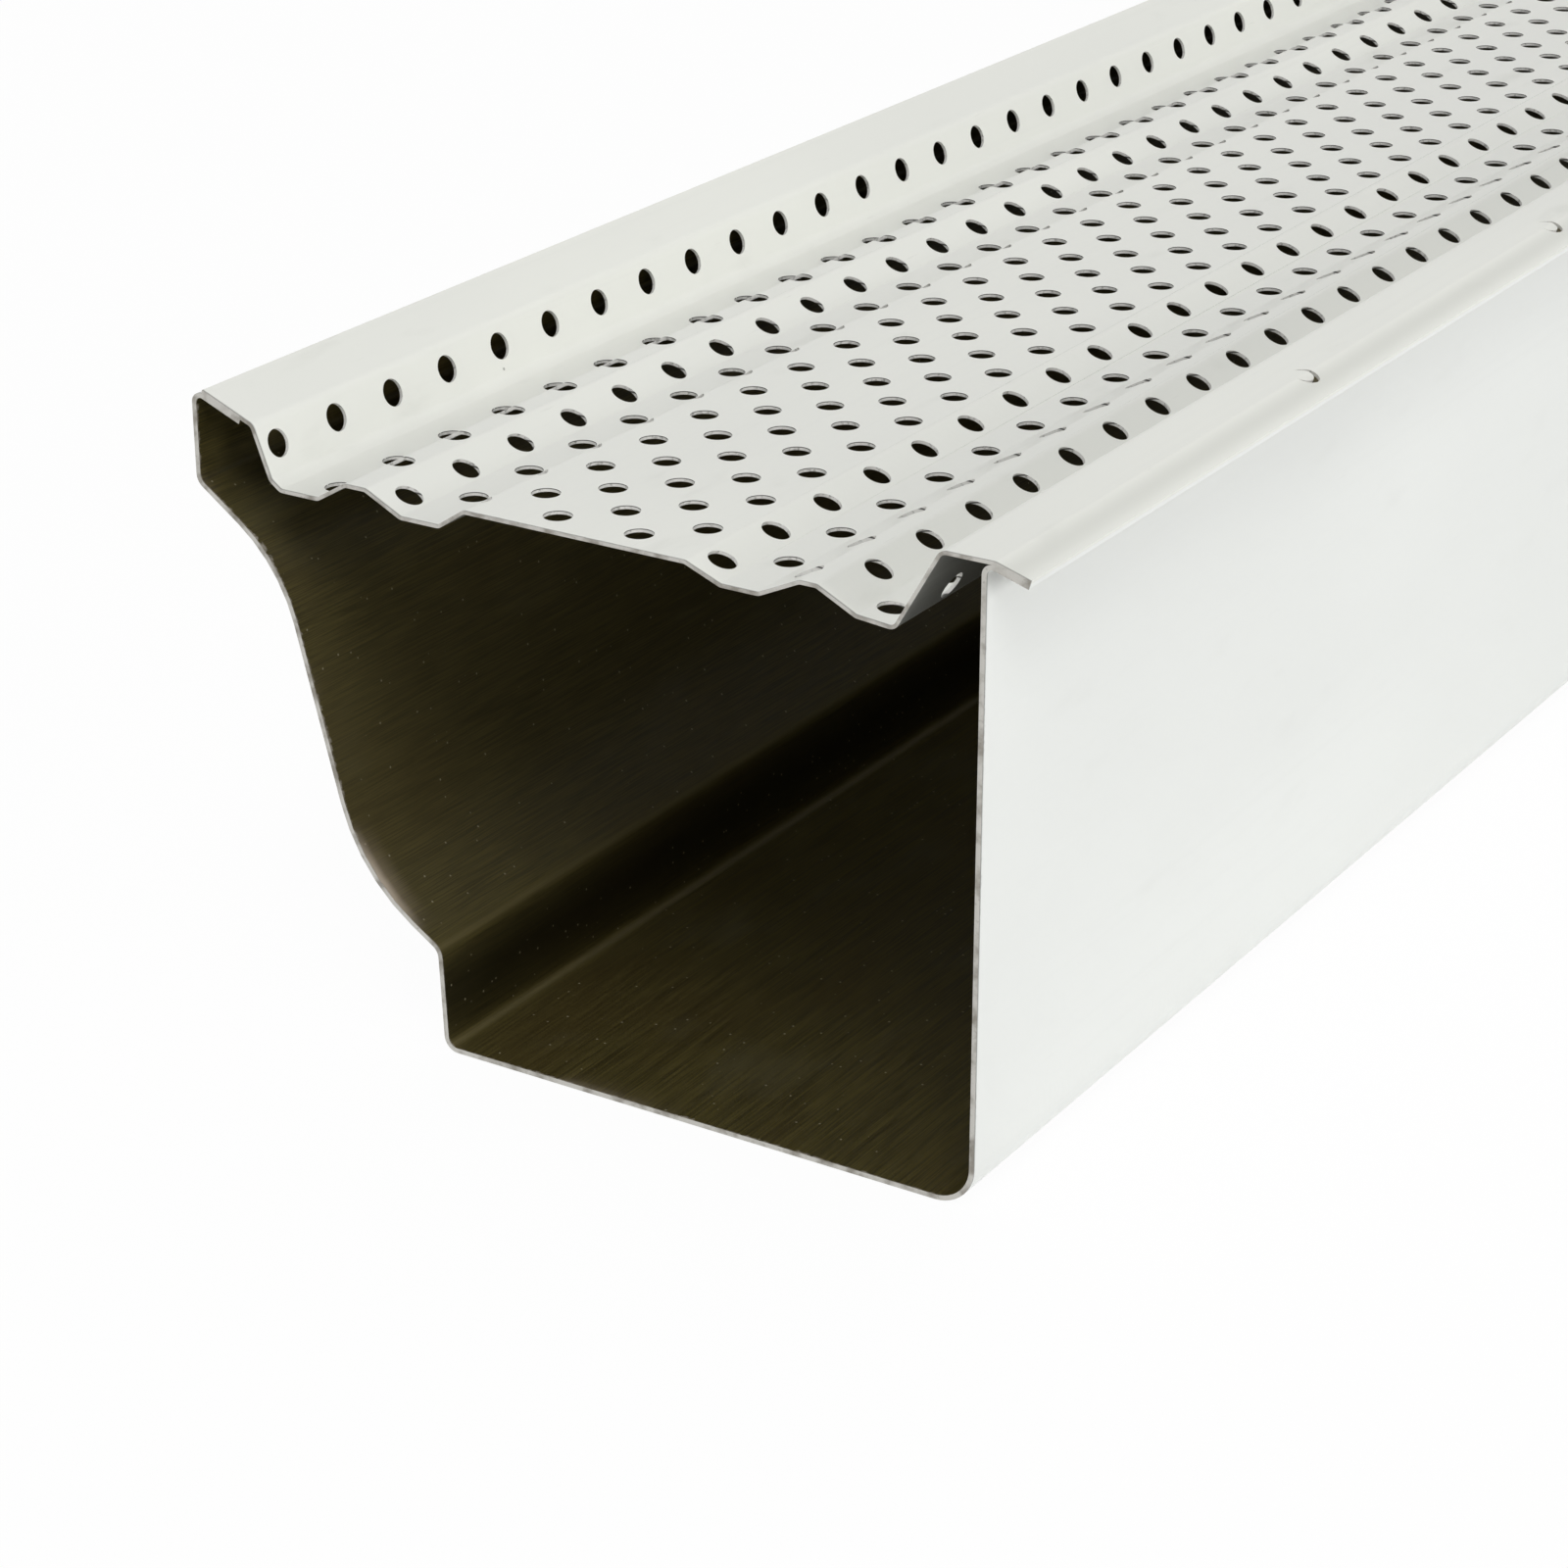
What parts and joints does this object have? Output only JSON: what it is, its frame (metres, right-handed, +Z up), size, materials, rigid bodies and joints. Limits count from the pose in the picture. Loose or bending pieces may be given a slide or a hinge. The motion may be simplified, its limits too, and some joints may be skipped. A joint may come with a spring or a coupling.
{
  "type": "gutter guard",
  "caption": "Perforated, ribbed sheet-metal gutter guard clinched along the top of a length of ogee-front rain gutter, open at both ends.",
  "frame": {"origin": "middle of the length and of the width, on the plane under the gutter's flat base", "axes": "+X across from the ogee front to the flat back wall, +Y along the length, +Z up"},
  "size_m": [0.1288, 1.2192, 0.0895],
  "materials": {
    "guard_paint": "satin",
    "gutter_paint": "satin"
  },
  "bodies": {
    "root": {"gutter_guard": "guard_paint", "gutter_trough": "gutter_paint"}
  },
  "joints": []
}
